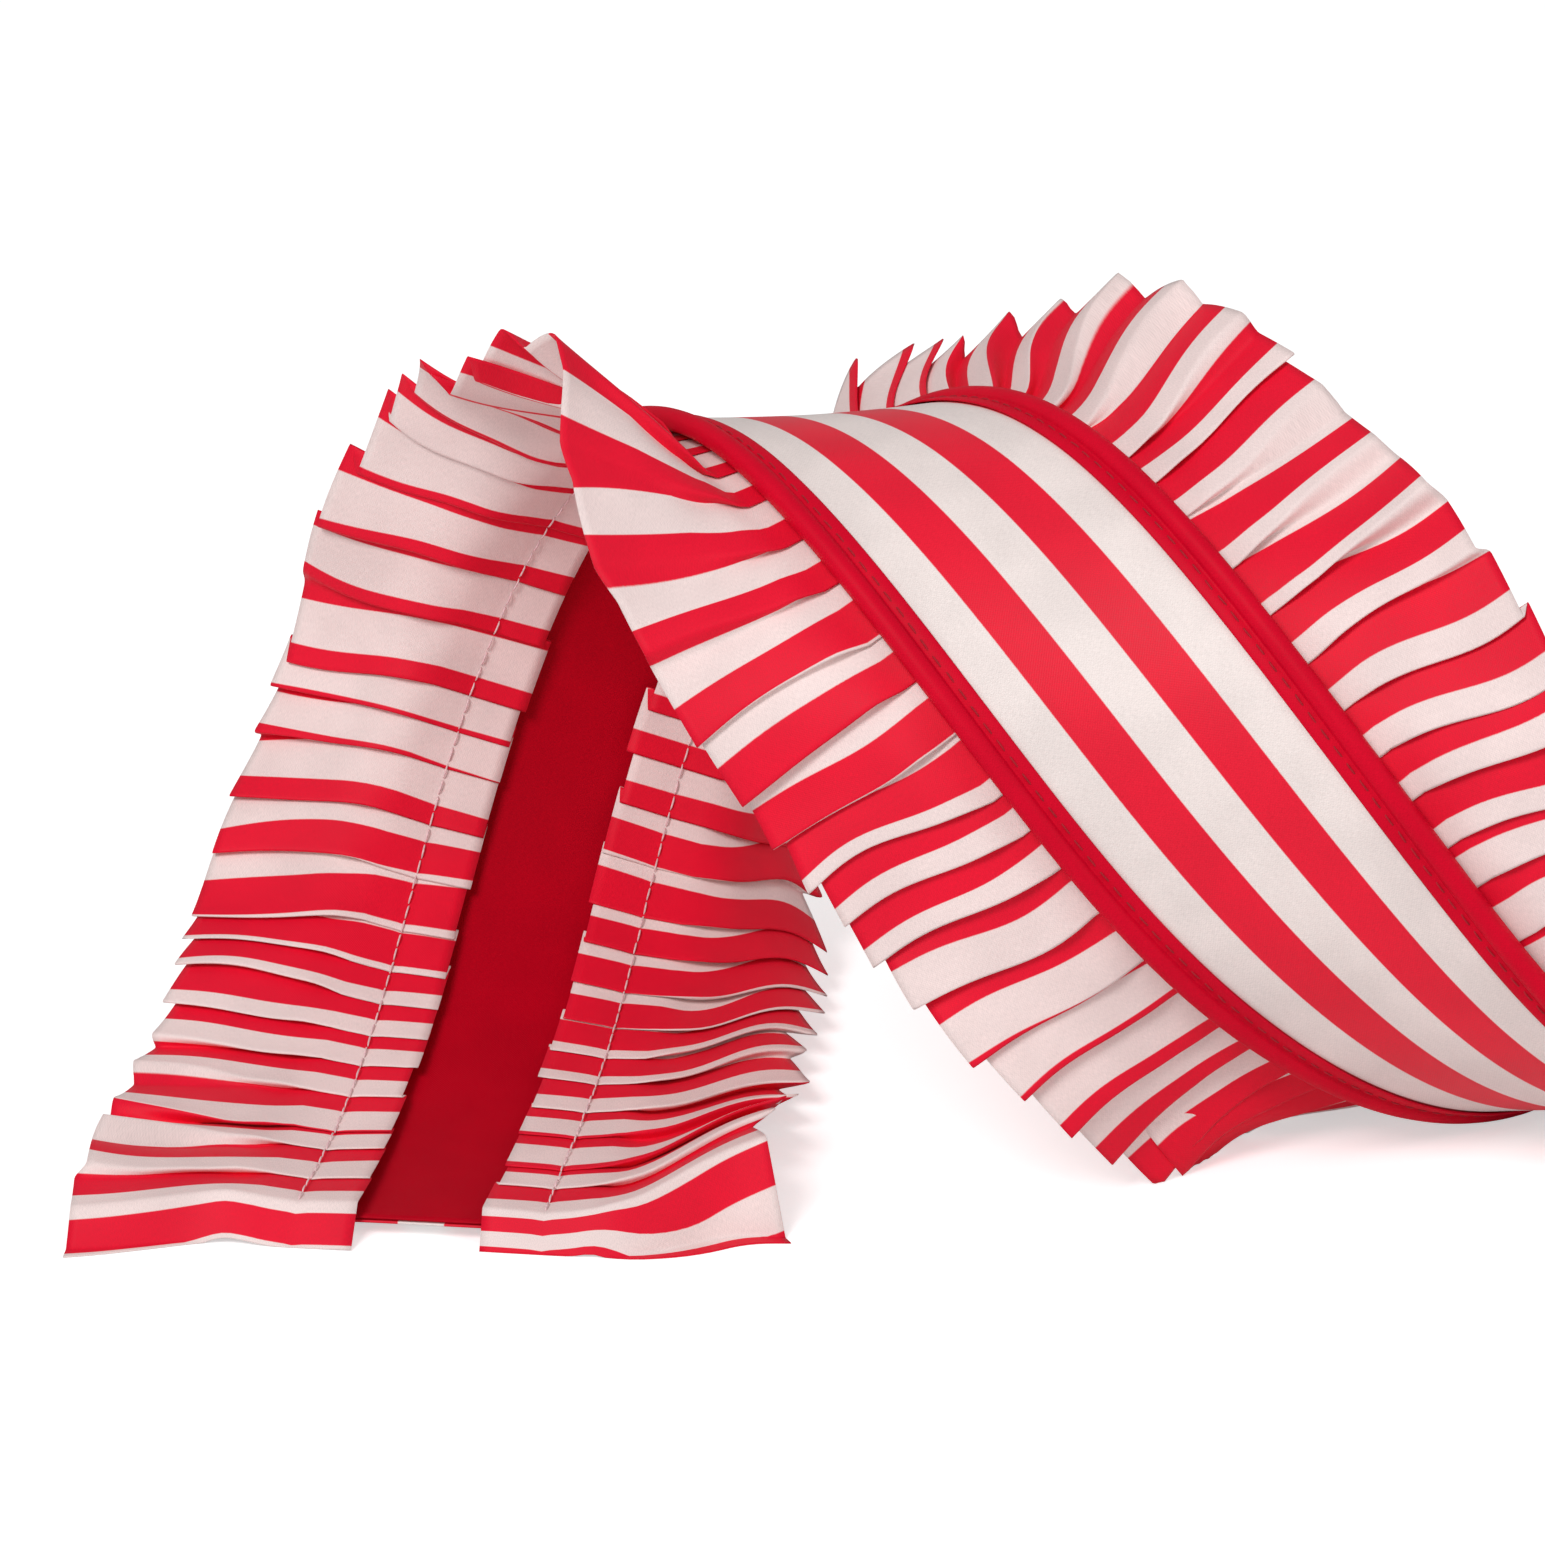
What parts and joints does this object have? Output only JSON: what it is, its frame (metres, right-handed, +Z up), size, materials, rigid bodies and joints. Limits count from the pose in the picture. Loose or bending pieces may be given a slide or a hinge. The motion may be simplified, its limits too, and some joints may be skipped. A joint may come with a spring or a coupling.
{
  "type": "ruffled ribbon trim",
  "caption": "Cut length of striped ribbon trim with a plain back, wired bound edges and a pleated ruffle sewn behind each edge, standing as a loose coil.",
  "frame": {"origin": "on the floor under the middle of the coil's bounding box", "axes": "+X along the coil from the end that lies on the floor to the end that stands up, +Y away from the striped front leg, +Z up"},
  "size_m": [0.285, 0.1298, 0.1118],
  "materials": {
    "striped_cloth": "fine satin ribbon with red and white lengthwise stripes",
    "back_cloth": "plain red satin ribbon",
    "binding_cloth": "plain red satin, folded and rolled",
    "ruffle_cloth": "fine satin with red and white crosswise stripes, pleated",
    "red_thread": "matt sewing thread",
    "pale_thread": "matt sewing thread",
    "edge_wire": "thin soft wire"
  },
  "bodies": {
    "root": {"face_band": "striped_cloth", "back_band": "back_cloth", "binding_left": "binding_cloth", "binding_right": "binding_cloth", "wire_left": "edge_wire", "wire_right": "edge_wire", "ruffle_left": "ruffle_cloth", "ruffle_right": "ruffle_cloth", "face_stitch_left": "red_thread", "face_stitch_right": "red_thread", "ruffle_stitch_left": "pale_thread", "ruffle_stitch_right": "pale_thread"}
  },
  "joints": []
}
